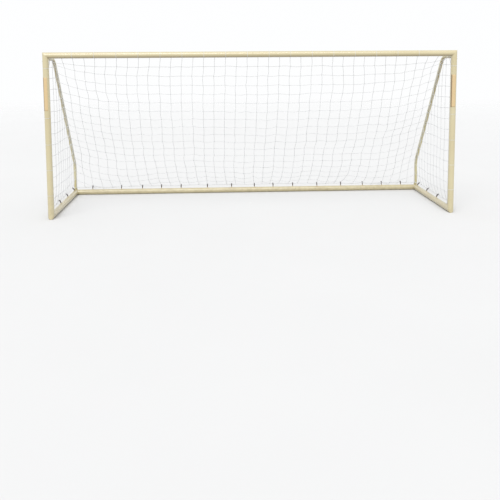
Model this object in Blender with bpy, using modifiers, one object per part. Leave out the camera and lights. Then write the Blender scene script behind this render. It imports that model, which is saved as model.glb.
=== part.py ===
"""A free-standing soccer goal, 5 m wide and 2 m high inside, with its net.

Two mitred loops of 76 mm steel tube, the upright mouth and the U on the ground, are joined at
the front corners, and a bent 42 mm tube braces each side from the crossbar down to the rear
corner. Elbows and sleeves inside the tubes hold the joints, bolted through the wall. The net
hangs from the crossbar over the two bent tubes and is caught on hooks on the ground tubes.

Metres, +Z up. The mouth faces -Y. The empty goal_line sits on the ground, halfway between the
post axes, and everything is placed from it. The origin is the bottom centre of the whole object.
"""

from math import cos, pi, radians, sin, tan

import bmesh
import bpy
from mathutils import Matrix, Vector

# ---- driving dimensions --------------------------------------------------------------------
INSIDE_WIDTH = 5.000
INSIDE_HEIGHT = 2.000
INSIDE_DEPTH = 1.500            # on the ground, between the front and rear tubes
GAP = 0.0003                    # between pieces that touch

TUBE_R = 0.038
TUBE_WALL = 0.002
TUBE_SIDES = 32

STAY_R = 0.021
STAY_WALL = 0.002
STAY_SIDES = 16
STAY_TOP_Z = 1.995              # height of the stay's level run behind the crossbar
STAY_KNEE_Z = 0.444             # where the slanting run meets the upright foot
STAY_SLANT = radians(36.5)      # from the vertical
STAY_TOP_BEND = 0.20
STAY_KNEE_BEND = 0.25
BEND_STEP = radians(8)

INSERT_WALL = 0.004             # elbows and sleeves inside the tubes
ELBOW_LIMB = 0.100
ELBOW_BOLT = 0.070              # from the corner to a limb's bolt
SLEEVE_LENGTH = 0.180
SLEEVE_BOLT = 0.055             # from the middle joint to a sleeve's bolt

COLLAR_R = 0.024                # of the stubs that the stays slip over
COLLAR_HEIGHT = 0.012
SADDLE_DEPTH = 0.012            # how far a collar reaches down round its tube
STUB_R = 0.0179
STUB_BORE = 0.013
STUB_LENGTH = 0.080
STUB_BOLT = 0.040

BOLT_R = 0.004
BOLT_LENGTH = 0.014
BOLT_HOLE_R = 0.0045
HEAD_R = 0.007
HEAD_HEIGHT = 0.0044

HOOK_R = 0.0045
HOOK_HOLE_R = 0.0052
HOOK_COLLAR_R = 0.009
HOOK_COLLAR_HEIGHT = 0.003
HOOK_STEM = 0.046               # height over the tube's axis where the prong starts to bend
HOOK_BEND = 0.044
HOOK_TURN = radians(70)
HOOK_DIP_R = 0.0063              # of the thick dark coat on the prong
REAR_HOOK_X = (-2.29, -1.87, -1.56, -1.28, -0.99, -0.60, -0.24, 0.10,
               0.38, 0.675, 1.04, 1.40, 1.73, 2.02, 2.31)     # spaced by hand, 2 or 3 meshes
SIDE_HOOK_FIRST = 0.120
SIDE_HOOK_PITCH = 0.445
SIDE_HOOKS = 4

NET_THICKNESS = 0.004
NET_CLEARANCE = 0.006           # from the net's sheets to the tubes beside them
NET_SAG = 0.190                 # of the middle of the back, square to its chord
NET_ROWS = 14
NET_COLUMNS = 24

# ---- derived places, from the goal line -----------------------------------------------------
POST_X = INSIDE_WIDTH / 2 + TUBE_R
BAR_Z = INSIDE_HEIGHT + TUBE_R
GROUND_Z = TUBE_R
REAR_Y = INSIDE_DEPTH + 2 * TUBE_R
REAR_REACH = REAR_Y + TUBE_R + GAP + HEAD_HEIGHT     # the rear bolts' heads reach furthest back
MIDDLE_Y = (REAR_REACH - TUBE_R) / 2
COLLAR_TOP = TUBE_R + COLLAR_HEIGHT
SIDES = {"left": -1, "right": 1}

# turns that point an object's local Z along an axis
AIM = {"+x": (0, pi / 2, 0), "-x": (0, -pi / 2, 0), "+y": (-pi / 2, 0, 0), "-y": (pi / 2, 0, 0),
       "+z": (0, 0, 0)}
X, Y, Z = Vector((1, 0, 0)), Vector((0, 1, 0)), Vector((0, 0, 1))

# colour, roughness, metallic
CREAM_PAINT = ((0.80, 0.71, 0.47, 1), 0.35, 0.0)
OLIVE_PAINT = ((0.60, 0.51, 0.26, 1), 0.40, 0.0)
BARE_STEEL = ((0.46, 0.46, 0.45, 1), 0.40, 1.0)
ZINC = ((0.62, 0.62, 0.60, 1), 0.30, 1.0)
DARK_IRON = ((0.035, 0.020, 0.016, 1), 0.55, 0.6)
WHITE_CORD = ((0.88, 0.88, 0.88, 1), 0.80, 0.0)

# ---- scene ----------------------------------------------------------------------------------
for old in list(bpy.data.objects):
    bpy.data.objects.remove(old, do_unlink=True)

goal = bpy.data.collections.new("soccer_goal_frame")
cutters = bpy.data.collections.new("cutters")
for group in (goal, cutters):
    bpy.context.scene.collection.children.link(group)

goal_line = bpy.data.objects.new("goal_line", None)
goal_line.location = (0, -MIDDLE_Y, 0)
goal.objects.link(goal_line)


# ---- helpers --------------------------------------------------------------------------------
def give_finish(obj, finish):
    """One Principled material for this object alone."""
    colour, roughness, metallic = finish
    material = bpy.data.materials.new(obj.name)
    material.use_nodes = True
    shader = material.node_tree.nodes["Principled BSDF"]
    shader.inputs["Base Color"].default_value = colour
    shader.inputs["Roughness"].default_value = roughness
    shader.inputs["Metallic"].default_value = metallic
    obj.data.materials.append(material)


def add_part(name, data, finish, place=(0, 0, 0), turn=(0, 0, 0)):
    """Link a piece into the goal's collection, placed from the goal line."""
    obj = bpy.data.objects.new(name, data)
    goal.objects.link(obj)
    obj.parent = goal_line
    obj.location = place
    obj.rotation_euler = turn
    if finish:
        give_finish(obj, finish)
    return obj


def add_cutter(name, data, place=(0, 0, 0), turn=(0, 0, 0)):
    obj = bpy.data.objects.new(name, data)
    cutters.objects.link(obj)
    obj.parent = goal_line
    obj.location = place
    obj.rotation_euler = turn
    obj.hide_render = True
    obj.display_type = "WIRE"
    return obj


def cut(obj, cutter):
    boolean = obj.modifiers.new(cutter.name, "BOOLEAN")
    boolean.operation = "DIFFERENCE"
    boolean.solver = "EXACT"
    boolean.object = cutter


def profile_mesh(name, profile, sides, closed):
    """A profile of (radius, height) points, half a step off +X and let out so that the turned
    piece's flats, not its corners, lie at the given radius and face along X and Y."""
    lean = tan(pi / sides)
    points = [(radius, -radius * lean, height) for radius, height in profile]
    edges = [(i, i + 1) for i in range(len(points) - 1)]
    if closed:
        edges.append((len(points) - 1, 0))
    mesh = bpy.data.meshes.new(name)
    mesh.from_pydata(points, edges, [])
    return mesh


def turn_profile(obj, sides):
    screw = obj.modifiers.new("turned", "SCREW")
    screw.axis = "Z"
    screw.steps = sides
    screw.render_steps = sides
    screw.use_merge_vertices = True
    screw.merge_threshold = 0.00001
    screw.use_smooth_shade = True


def turned(name, profile, sides, finish, place, turn, closed=False):
    obj = add_part(name, profile_mesh(name, profile, sides, closed), finish, place, turn)
    turn_profile(obj, sides)
    return obj


def tube(name, radius, wall, length, finish, place, aim):
    """A straight hollow tube that starts at place and runs along aim."""
    inner = radius - wall
    profile = [(radius, length), (radius, 0), (inner, 0), (inner, length)]
    return turned(name, profile, TUBE_SIDES, finish, place, AIM[aim], closed=True)


def rod_cutter(name, radius, length, place, aim):
    """A solid cylinder from place along aim, with the tubes' own number of sides."""
    profile = [(0, length), (radius, length), (radius, 0), (0, 0)]
    obj = add_cutter(name, profile_mesh(name, profile, TUBE_SIDES, False), place, AIM[aim])
    turn_profile(obj, TUBE_SIDES)
    return obj


def mitre(obj, corner, along, other, gap=GAP):
    """Cut the end of a tube that leaves corner along one axis, where it meets the tube that
    leaves along the other axis, on the plane between them."""
    size = 0.24
    normal = (along - other).normalized()
    mesh = bpy.data.meshes.new(obj.name + "_mitre")
    block = bmesh.new()
    bmesh.ops.create_cube(block, size=size)
    block.to_mesh(mesh)
    block.free()
    centre = corner - normal * (size - gap) / 2
    turn = normal.to_track_quat("Z", "Y").to_euler()
    cut(obj, add_cutter(mesh.name, mesh, centre, turn))


def drill(obj, name, places, radius, depth, turn):
    """Cut one round hole at each place, depth long and centred on it."""
    mesh = bpy.data.meshes.new(name)
    drills = bmesh.new()
    for place in places:
        at = Matrix.Translation(place) @ Matrix.Rotation(turn[0], 4, "X") \
            @ Matrix.Rotation(turn[1], 4, "Y")
        bmesh.ops.create_cone(drills, cap_ends=True, segments=12, radius1=radius,
                              radius2=radius, depth=depth, matrix=at)
    drills.to_mesh(mesh)
    drills.free()
    cut(obj, add_cutter(name, mesh))


def poly_curve(name, points, radius, bevel_resolution, caps):
    """A curve object's data: points are (place, thickness factor)."""
    curve = bpy.data.curves.new(name, "CURVE")
    curve.dimensions = "3D"
    curve.bevel_depth = radius
    curve.bevel_resolution = bevel_resolution
    curve.use_fill_caps = caps
    spline = curve.splines.new("POLY")
    spline.points.add(len(points) - 1)
    for point, (place, thickness) in zip(spline.points, points):
        point.co = (*place, 1)
        point.radius = thickness
    return curve


def stay_route(inset=0):
    """The bent stay's line as (y, z) points, moved inset towards the inside of the goal:
    level from the crossbar, a bend, the slant, a second bend and down."""
    top, drop = STAY_TOP_Z - inset, REAR_Y - inset
    across, down = sin(STAY_SLANT), cos(STAY_SLANT)
    knee_y, knee_z = REAR_Y - inset * down, STAY_KNEE_Z - inset * across
    slope = across / down
    upper = (knee_y - (top - knee_z) * slope, top)
    lower = (drop, knee_z - (drop - knee_y) / slope)
    route = []
    bends = ((upper, STAY_TOP_BEND - inset, pi / 2, STAY_SLANT),
             (lower, STAY_KNEE_BEND - inset, STAY_SLANT, 0))
    for (y, z), radius, heading, leaving in bends:
        setback = radius * tan((heading - leaving) / 2)
        y, z = y - setback * sin(heading), z + setback * cos(heading)
        centre = (y - radius * cos(heading), z - radius * sin(heading))
        steps = round((heading - leaving) / BEND_STEP)
        for i in range(steps + 1):
            angle = heading + (leaving - heading) * i / steps
            route.append((centre[0] + radius * cos(angle), centre[1] + radius * sin(angle)))
    return route


# ---- the upright mouth: posts and crossbar ---------------------------------------------------
parts = {}
for side, sign in SIDES.items():
    top = Vector((sign * POST_X, 0, BAR_Z))
    foot = Vector((sign * POST_X, 0, GROUND_Z))
    post = tube(f"post_{side}", TUBE_R, TUBE_WALL, BAR_Z + TUBE_R, CREAM_PAINT,
                (sign * POST_X, 0, 0), "+z")
    mitre(post, top, -Z, -sign * X)
    mitre(post, foot, Z, Y)
    parts[post.name] = post

    bar = tube(f"crossbar_{side}", TUBE_R, TUBE_WALL, POST_X + TUBE_R - GAP / 2, CREAM_PAINT,
               (sign * GAP / 2, 0, BAR_Z), "+x" if sign > 0 else "-x")
    mitre(bar, top, -sign * X, -Z)
    parts[bar.name] = bar

# ---- the U on the ground: side and rear tubes ------------------------------------------------
for side, sign in SIDES.items():
    front = Vector((sign * POST_X, 0, GROUND_Z))
    rear = Vector((sign * POST_X, REAR_Y, GROUND_Z))
    bar = tube(f"side_bar_{side}", TUBE_R, TUBE_WALL, REAR_Y + 2 * TUBE_R, CREAM_PAINT,
               front - TUBE_R * Y, "+y")
    mitre(bar, front, Y, Z)
    mitre(bar, rear, -Y, -sign * X)
    parts[bar.name] = bar

    bar = tube(f"rear_bar_{side}", TUBE_R, TUBE_WALL, POST_X + TUBE_R - GAP / 2, CREAM_PAINT,
               (sign * GAP / 2, REAR_Y, GROUND_Z), "+x" if sign > 0 else "-x")
    mitre(bar, rear, -sign * X, -Y)
    parts[bar.name] = bar

# ---- sleeves inside the two middle joints ----------------------------------------------------
INSERT_R = TUBE_R - TUBE_WALL - GAP
for name, y, z in (("crossbar_sleeve", 0, BAR_Z), ("rear_bar_sleeve", REAR_Y, GROUND_Z)):
    parts[name] = tube(name, INSERT_R, INSERT_WALL, SLEEVE_LENGTH, BARE_STEEL,
                       (-SLEEVE_LENGTH / 2, y, z), "+x")


# ---- elbows inside the six corners -----------------------------------------------------------
def elbow_mesh():
    """One open limb at 45 degrees to local Z, its near ring slid along it to the plane x = 0,
    where Mirror joins it to the other limb."""
    half_step = pi / TUBE_SIDES
    limb = Vector((1, 0, 1)).normalized()
    pipe = bmesh.new()
    lie = Matrix.Rotation(pi / 4, 4, "Y") @ Matrix.Translation((0, 0, ELBOW_LIMB / 2)) \
        @ Matrix.Rotation(half_step, 4, "Z")
    reach = INSERT_R / cos(half_step)
    bmesh.ops.create_cone(pipe, cap_ends=False, segments=TUBE_SIDES, radius1=reach,
                          radius2=reach, depth=ELBOW_LIMB, matrix=lie)
    for vert in pipe.verts:
        if vert.co.dot(limb) < ELBOW_LIMB / 2:
            vert.co -= limb * (vert.co.x / limb.x)
    mesh = bpy.data.meshes.new("elbow")
    pipe.to_mesh(mesh)
    pipe.free()
    mesh.shade_smooth()
    return mesh


def elbow(name, corner, along, other):
    """Two limbs that leave corner along two axes."""
    up = (along + other).normalized()
    right = (along - other).normalized()
    turn = Matrix((right, up.cross(right), up)).transposed().to_euler()
    obj = add_part(name, elbow_mesh(), BARE_STEEL, corner, turn)
    mirror = obj.modifiers.new("other_limb", "MIRROR")
    mirror.merge_threshold = 0.00001
    wall = obj.modifiers.new("wall", "SOLIDIFY")
    wall.thickness = INSERT_WALL
    wall.offset = -1
    wall.use_even_offset = True
    parts[name] = obj


for side, sign in SIDES.items():
    elbow(f"top_elbow_{side}", Vector((sign * POST_X, 0, BAR_Z)), -Z, -sign * X)
    elbow(f"front_elbow_{side}", Vector((sign * POST_X, 0, GROUND_Z)), Z, Y)
    elbow(f"rear_elbow_{side}", Vector((sign * POST_X, REAR_Y, GROUND_Z)), -Y, -sign * X)


# ---- stubs that the stays slip over ----------------------------------------------------------
def stub(name, place, aim):
    """A collar and spigot that stand out from a tube's axis at place."""
    base = TUBE_R - SADDLE_DEPTH
    tip = COLLAR_TOP + STUB_LENGTH
    profile = [(STUB_R - 0.001, tip), (STUB_R, tip - 0.002), (STUB_R, COLLAR_TOP),
               (COLLAR_R - 0.001, COLLAR_TOP), (COLLAR_R, COLLAR_TOP - 0.001), (COLLAR_R, base),
               (STUB_BORE, base), (STUB_BORE, tip)]
    obj = turned(name, profile, STAY_SIDES, CREAM_PAINT, place, AIM[aim], closed=True)
    parts[name] = obj
    return obj


SADDLE_R = TUBE_R + GAP
SADDLE_LENGTH = 0.16
SADDLE_OVERLAP = 0.001          # of the two saddles cut in a foot stub, at the mitre under it
for side, sign in SIDES.items():
    post_x = sign * POST_X
    obj = stub(f"stay_stub_top_{side}", (post_x, 0, STAY_TOP_Z), "+y")
    cut(obj, rod_cutter(f"post_saddle_{side}", SADDLE_R, SADDLE_LENGTH,
                        (post_x, 0, STAY_TOP_Z - SADDLE_LENGTH / 2), "+z"))

    corner = Vector((post_x, REAR_Y, GROUND_Z))
    obj = stub(f"stay_stub_foot_{side}", corner, "+z")
    along_side = rod_cutter(f"side_saddle_{side}", SADDLE_R, SADDLE_LENGTH + TUBE_R,
                            corner + TUBE_R * Y, "-y")
    mitre(along_side, corner, -Y, -sign * X, gap=-SADDLE_OVERLAP)
    along_rear = rod_cutter(f"rear_saddle_{side}", SADDLE_R, SADDLE_LENGTH + TUBE_R,
                            corner + sign * TUBE_R * X, "-x" if sign > 0 else "+x")
    mitre(along_rear, corner, -sign * X, -Y, gap=-SADDLE_OVERLAP)
    cut(obj, along_side)
    cut(obj, along_rear)


# ---- bent stays ------------------------------------------------------------------------------
def bent_tube(name, route, radius, wall, sides, finish):
    """A hollow tube along the route: an open skin from a curve, given its wall by Solidify."""
    curve = poly_curve(name, [(place, 1) for place in route], radius, sides // 2 - 2, False)
    guide = bpy.data.objects.new(name + "_guide", curve)
    cutters.objects.link(guide)
    bpy.context.view_layer.update()
    skin = bpy.data.meshes.new_from_object(guide.evaluated_get(
        bpy.context.evaluated_depsgraph_get()))
    bpy.data.objects.remove(guide, do_unlink=True)
    skin.name = name
    weld = bmesh.new()
    weld.from_mesh(skin)
    bmesh.ops.remove_doubles(weld, verts=weld.verts, dist=0.00001)
    bmesh.ops.recalc_face_normals(weld, faces=weld.faces)
    weld.to_mesh(skin)
    weld.free()
    skin.shade_smooth()
    obj = add_part(name, skin, finish)
    solid = obj.modifiers.new("wall", "SOLIDIFY")
    solid.thickness = wall
    solid.offset = -1
    return obj


stay_start = (COLLAR_TOP + GAP, STAY_TOP_Z)
stay_end = (REAR_Y, GROUND_Z + COLLAR_TOP + GAP)
for side, sign in SIDES.items():
    line = [stay_start, *stay_route(), stay_end]
    route = [(sign * POST_X, y, z) for y, z in line]
    parts[f"stay_{side}"] = bent_tube(f"stay_{side}", route, STAY_R, STAY_WALL, STAY_SIDES,
                                      OLIVE_PAINT)


# ---- bolts -----------------------------------------------------------------------------------
def bolt_mesh():
    """A domed head over a plain shank, its seat at z = 0."""
    profile = [(0, HEAD_HEIGHT), (HEAD_R * 0.55, HEAD_HEIGHT), (HEAD_R, HEAD_HEIGHT * 0.4),
               (HEAD_R, 0), (BOLT_R, 0), (BOLT_R, -BOLT_LENGTH), (0, -BOLT_LENGTH)]
    return profile_mesh("bolt", profile, 12, False)


def bolt(name, axis_point, aim, radius, holds):
    """A bolt through the wall of a tube of this radius, into what is inside it."""
    turn = AIM[aim]
    out = Matrix.Rotation(turn[0], 3, "X") @ Matrix.Rotation(turn[1], 3, "Y") @ Z
    obj = add_part(name, bolt_mesh(), ZINC, Vector(axis_point) + out * (radius + GAP), turn)
    turn_profile(obj, 12)
    parts[name] = obj
    for held in holds:
        drill(parts[held], f"{name}_hole_{held}", [Vector(axis_point) + out * radius * 0.8],
              BOLT_HOLE_R, radius * 0.9, turn)


for side, sign in SIDES.items():
    post_x = sign * POST_X
    outward = "+x" if sign > 0 else "-x"
    bolt(f"bolt_top_{side}", (post_x, 0, BAR_Z - ELBOW_BOLT), outward, TUBE_R,
         (f"post_{side}", f"top_elbow_{side}"))
    bolt(f"bolt_front_{side}", (post_x, ELBOW_BOLT, GROUND_Z), outward, TUBE_R,
         (f"side_bar_{side}", f"front_elbow_{side}"))
    bolt(f"bolt_rear_{side}", (sign * (POST_X - ELBOW_BOLT), REAR_Y, GROUND_Z), "+y", TUBE_R,
         (f"rear_bar_{side}", f"rear_elbow_{side}"))
    bolt(f"bolt_crossbar_{side}", (sign * SLEEVE_BOLT, 0, BAR_Z), "+y", TUBE_R,
         (f"crossbar_{side}", "crossbar_sleeve"))
    bolt(f"bolt_rear_bar_{side}", (sign * SLEEVE_BOLT, REAR_Y, GROUND_Z), "+y", TUBE_R,
         (f"rear_bar_{side}", "rear_bar_sleeve"))
    bolt(f"bolt_stay_{side}", (post_x, REAR_Y, GROUND_Z + COLLAR_TOP + STUB_BOLT), outward,
         STAY_R, (f"stay_{side}", f"stay_stub_foot_{side}"))


# ---- net hooks -------------------------------------------------------------------------------
def hook_curve():
    """A stud through the tube's wall, a collar on the wall, and a thickly coated prong that
    bends outwards along local Y to a rounded tip; local Z = 0 is the tube's axis."""
    seat = TUBE_R + GAP
    lip = HOOK_COLLAR_R / HOOK_R
    step = 0.0001
    points = [((0, 0, TUBE_R - 0.010), 1), ((0, 0, seat), 1), ((0, 0, seat + step), lip),
              ((0, 0, seat + HOOK_COLLAR_HEIGHT), lip),
              ((0, 0, seat + HOOK_COLLAR_HEIGHT + step), 1)]
    coat = HOOK_DIP_R / HOOK_R
    thickness = (1, coat, coat, coat, coat, coat, 1.1 * coat, 0.6 * coat)
    last = len(thickness) - 1
    for i, factor in enumerate(thickness):
        angle = HOOK_TURN * i / last
        out = HOOK_BEND * (1 - cos(angle))
        up = HOOK_STEM + HOOK_BEND * sin(angle)
        points.append(((0, out, up), factor))
    return poly_curve("net_hook", points, HOOK_R, 2, True)


def hook(name, place, turn):
    parts[name] = add_part(name, hook_curve(), DARK_IRON, place, (0, 0, turn))


def hook_holes(bar, places):
    drill(parts[bar], f"{bar}_hook_holes", [Vector(p) + TUBE_R * 0.9 * Z for p in places],
          HOOK_HOLE_R, TUBE_R * 0.6, (0, 0))


side_hook_y = [SIDE_HOOK_FIRST + SIDE_HOOK_PITCH * i for i in range(SIDE_HOOKS)]
for number, x in enumerate(REAR_HOOK_X, 1):
    hook(f"net_hook_rear_{number:02d}", (x, REAR_Y, GROUND_Z), 0)
for side, sign in SIDES.items():
    rear_places = [(x, REAR_Y, GROUND_Z) for x in REAR_HOOK_X if x * sign > 0]
    hook_holes(f"rear_bar_{side}", rear_places)
    side_places = [(sign * POST_X, y, GROUND_Z) for y in side_hook_y]
    hook_holes(f"side_bar_{side}", side_places)
    for number, place in enumerate(side_places, 1):
        hook(f"net_hook_{side}_{number}", place, -sign * pi / 2)


# ---- the net, as three plain sheets ----------------------------------------------------------
def along(points, share):
    """The point at this share of a polyline's length."""
    spans = [(b - a).length for a, b in zip(points, points[1:])]
    left = share * sum(spans)
    for a, b, span in zip(points, points[1:], spans):
        if left <= span:
            return a.lerp(b, left / span)
        left -= span
    return points[-1]


def net_back():
    """The back: at the sides it follows the stays, in the middle it hangs in a shallow arc."""
    reach = TUBE_R + NET_CLEARANCE
    head = Vector((reach * sin(pi / 4), BAR_Z - reach * cos(pi / 4)))
    foot = Vector((REAR_Y - 0.020, GROUND_Z + TUBE_R + 0.009))
    stay = [head, *(Vector(p) for p in stay_route()), foot]
    chord = (foot - head).normalized()
    inward = Vector((chord.y, -chord.x))
    half = POST_X - STAY_R - NET_CLEARANCE
    sheet = bmesh.new()
    bmesh.ops.create_grid(sheet, x_segments=NET_COLUMNS, y_segments=NET_ROWS, size=1)
    for vert in sheet.verts:
        share = (1 - vert.co.y) / 2
        x = (1.5 * vert.co.x - 0.5 * vert.co.x ** 3) * half
        hung = head.lerp(foot, share) + inward * NET_SAG * 4 * share * (1 - share)
        y, z = hung.lerp(along(stay, share), abs(x / half) ** 8)
        vert.co = (x, y, z)
    mesh = bpy.data.meshes.new("net_back")
    sheet.to_mesh(mesh)
    sheet.free()
    mesh.shade_smooth()
    obj = add_part("net_back", mesh, WHITE_CORD)
    cloth = obj.modifiers.new("thickness", "SOLIDIFY")
    cloth.thickness = NET_THICKNESS
    cloth.offset = 0
    return obj


def net_side(name, sign):
    """A flat sheet between post, side tube and stay, just inside the row of hooks."""
    low = 2 * TUBE_R + NET_CLEARANCE
    near = TUBE_R + NET_CLEARANCE
    bend = stay_route(inset=STAY_R + NET_CLEARANCE)
    outline = [(near, low), (near, bend[0][1]), *bend, (bend[-1][0], low)]
    curve = bpy.data.curves.new(name, "CURVE")
    curve.dimensions = "2D"
    curve.fill_mode = "BOTH"
    curve.extrude = NET_THICKNESS / 2
    spline = curve.splines.new("POLY")
    spline.points.add(len(outline) - 1)
    spline.use_cyclic_u = True
    for point, (y, z) in zip(spline.points, outline):
        point.co = (y, z, 0, 1)
    inboard = sign * (POST_X - 0.010)
    return add_part(name, curve, WHITE_CORD, (inboard, 0, 0), (pi / 2, 0, pi / 2))


parts["net_back"] = net_back()
for side, sign in SIDES.items():
    parts[f"net_{side}"] = net_side(f"net_{side}", sign)

print(len(parts), "pieces")
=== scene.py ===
# %% [markdown]
# # A soccer goal frame with its net
# The steel frame comes from CAD as separate solids: two posts, a crossbar, a
# base of ground tubes, two bent stays, hooks and bolts. Here each visible
# piece gets its finished surface: smooth painted tubes with rounded cuts,
# dipped hooks, button-head bolts, two plain labels and a knotted net that
# really hangs between the crossbar, the stays and the hooks.

# %% Load the frame
from math import cos, pi, radians, sin, tan

import bpy
import numpy as np
from mathutils import Matrix, Vector


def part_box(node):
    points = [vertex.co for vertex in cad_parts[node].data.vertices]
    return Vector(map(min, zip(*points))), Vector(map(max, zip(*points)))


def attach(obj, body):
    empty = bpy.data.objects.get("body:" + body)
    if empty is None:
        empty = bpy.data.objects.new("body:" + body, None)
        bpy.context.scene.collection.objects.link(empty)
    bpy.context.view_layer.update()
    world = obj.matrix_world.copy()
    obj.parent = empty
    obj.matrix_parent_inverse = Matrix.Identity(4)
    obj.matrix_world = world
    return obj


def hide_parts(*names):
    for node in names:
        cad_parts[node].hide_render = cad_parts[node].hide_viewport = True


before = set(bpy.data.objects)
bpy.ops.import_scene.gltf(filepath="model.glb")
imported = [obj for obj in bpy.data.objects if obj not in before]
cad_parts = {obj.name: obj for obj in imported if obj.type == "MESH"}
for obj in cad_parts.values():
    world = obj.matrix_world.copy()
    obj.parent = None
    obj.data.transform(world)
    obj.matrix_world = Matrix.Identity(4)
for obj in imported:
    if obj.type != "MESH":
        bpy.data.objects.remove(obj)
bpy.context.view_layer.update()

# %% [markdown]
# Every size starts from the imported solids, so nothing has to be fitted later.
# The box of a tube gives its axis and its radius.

MM = 0.001


def middle(node):
    low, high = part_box(node)
    return (np.array(low) + np.array(high)) / 2


def span(node):
    low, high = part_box(node)
    return np.array(high) - np.array(low)


TUBE_R = span("crossbar_left")[1] / 2
TUBE_WALL = 2.0 * MM
POST_X = abs(middle("post_left")[0])
FRONT_Y = middle("post_left")[1]
REAR_Y = middle("rear_bar_left")[1]
GROUND_Z = middle("rear_bar_left")[2]
BAR_Z = middle("crossbar_left")[2]
SEAM = 0.3 * MM
SIDES = {"left": -1, "right": 1}
print(f"tube radius {TUBE_R:.4f} m, posts at x = {POST_X:.4f} m")
print(f"goal line y = {FRONT_Y:.4f} m, rear bar y = {REAR_Y:.4f} m")

# %% [markdown]
# The camera stands a little left of the middle, about as high as the
# crossbar, and looks slightly down and to the right. Its axes are written out
# from yaw, pitch and roll, so that the view can be checked by hand. The lens
# shift puts the goal in the upper part of the frame.

# %% Camera
CAMERA_PLACE = (-0.4805, FRONT_Y - 8.7148, 2.0018)
CAMERA_YAW, CAMERA_PITCH, CAMERA_ROLL = 0.0505, 0.108, -0.0061
LENS, SENSOR, LENS_SHIFT = 50.36, 36, -0.2338
ahead = Vector((
    sin(CAMERA_YAW) * cos(CAMERA_PITCH),
    cos(CAMERA_YAW) * cos(CAMERA_PITCH),
    -sin(CAMERA_PITCH),
))
level = Vector((cos(CAMERA_YAW), -sin(CAMERA_YAW), 0))
above = level.cross(ahead)
rightward = level * cos(CAMERA_ROLL) + above * sin(CAMERA_ROLL)
upward = above * cos(CAMERA_ROLL) - level * sin(CAMERA_ROLL)
camera = bpy.data.objects.new("camera", bpy.data.cameras.new("camera"))
camera.data.sensor_width = SENSOR
camera.data.lens = LENS
camera.data.shift_y = LENS_SHIFT
turn = Matrix((rightward, upward, -ahead)).transposed().to_4x4()
camera.matrix_world = Matrix.Translation(CAMERA_PLACE) @ turn
bpy.context.collection.objects.link(camera)
bpy.context.scene.camera = camera
print("camera at", CAMERA_PLACE)

# %% [markdown]
# The studio is a pale floor under an even white sky, with one wide soft sun
# above the goal. The sky alone would leave the round tubes flat, and a small
# sun would draw hard shadows of every cord. The floor fades out towards its
# rim, so that no horizon crosses the picture.

# %% Studio light
SKY = (0.99, 0.995, 1.0, 1)
SUN_STRENGTH, SUN_SPREAD, SUN_TOWARD = 2.15, 45, (0.2, 0.88, -1)
world = bpy.data.worlds.new("studio")
bpy.context.scene.world = world
world.use_nodes = True
background = world.node_tree.nodes["Background"]
background.inputs["Color"].default_value = SKY
background.inputs["Strength"].default_value = 1.0
bpy.context.scene.view_settings.view_transform = "Standard"


def soft_sun(name, strength, spread, toward):
    """A sun lamp that shines along the direction toward, spread degrees wide."""
    lamp = bpy.data.lights.new(name, "SUN")
    lamp.energy, lamp.angle = strength, radians(spread)
    holder = bpy.data.objects.new(name, lamp)
    holder.rotation_euler = Vector(toward).to_track_quat("-Z", "Y").to_euler()
    bpy.context.collection.objects.link(holder)


soft_sun("overhead", SUN_STRENGTH, SUN_SPREAD, SUN_TOWARD)

# %% [markdown]
# Shader maths reads best as plain sums. A `Wire` wraps one socket; adding or
# multiplying two of them adds the Math node that does it. Colours go through
# a Mix node, because a Math node would turn them grey.


# %% Wire: shader nodes as expressions
class Wire:
    """One output socket. Operators on it add Math nodes; node() adds any other."""

    def __init__(self, tree, socket=None):
        self.tree, self.socket = tree, socket

    def node(self, kind, settings=None, sockets=None, output=0):
        """Adds a node of a kind: settings first, then a value or a Wire for each input."""
        made = self.tree.nodes.new(kind)
        for name, value in (settings or {}).items():
            setattr(made, name, value)
        for name, value in (sockets or {}).items():
            if isinstance(value, Wire):
                self.tree.links.new(value.socket, made.inputs[name])
            else:
                made.inputs[name].default_value = value
        return Wire(self.tree, made.outputs[output])

    def math(self, operation, first, second=0.0, clamp=False):
        settings = {"operation": operation, "use_clamp": clamp}
        return self.node("ShaderNodeMath", settings, {0: first, 1: second})

    def __add__(self, other):
        return self.math("ADD", self, other)

    def __sub__(self, other):
        return self.math("SUBTRACT", self, other)

    def __rsub__(self, other):
        return self.math("SUBTRACT", other, self)

    def __mul__(self, other):
        return self.math("MULTIPLY", self, other)

    def __pow__(self, other):
        return self.math("POWER", self, other)

    __radd__, __rmul__ = __add__, __mul__

    def sine(self):
        return self.math("SINE", self)

    def ramp(self, low, high):
        """0 up to low, 1 from high on, and a straight line between."""
        return self.math("MULTIPLY", self - low, 1 / (high - low), clamp=True)

    def mix(self, at_zero, at_one):
        """Blends two colours by this value."""
        sockets = {0: self, 6: at_zero, 7: at_one}
        return self.node("ShaderNodeMix", {"data_type": "RGBA"}, sockets, 2)

    def noise(self, scale, detail=2.0, roughness=0.5):
        """Cloudy noise from 0 to 1, scale clouds to a metre, read at this vector."""
        sockets = {"Vector": self, "Scale": scale, "Detail": detail, "Roughness": roughness}
        return self.node("ShaderNodeTexNoise", None, sockets)

    def axis(self, letter):
        return self.node("ShaderNodeSeparateXYZ", None, {0: self}, "XYZ".index(letter))

    def bump(self, distance, strength=1.0):
        sockets = {"Height": self, "Distance": distance, "Strength": strength}
        return self.node("ShaderNodeBump", None, sockets)


def srgb(red, green, blue):
    """A screen colour of 0 to 255 as the linear colour that a shader takes."""
    share = np.array((red, green, blue)) / 255
    linear = np.where(share <= 0.04045, share / 12.92, ((share + 0.055) / 1.055) ** 2.4)
    return (*(float(x) for x in linear), 1.0)


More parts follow.
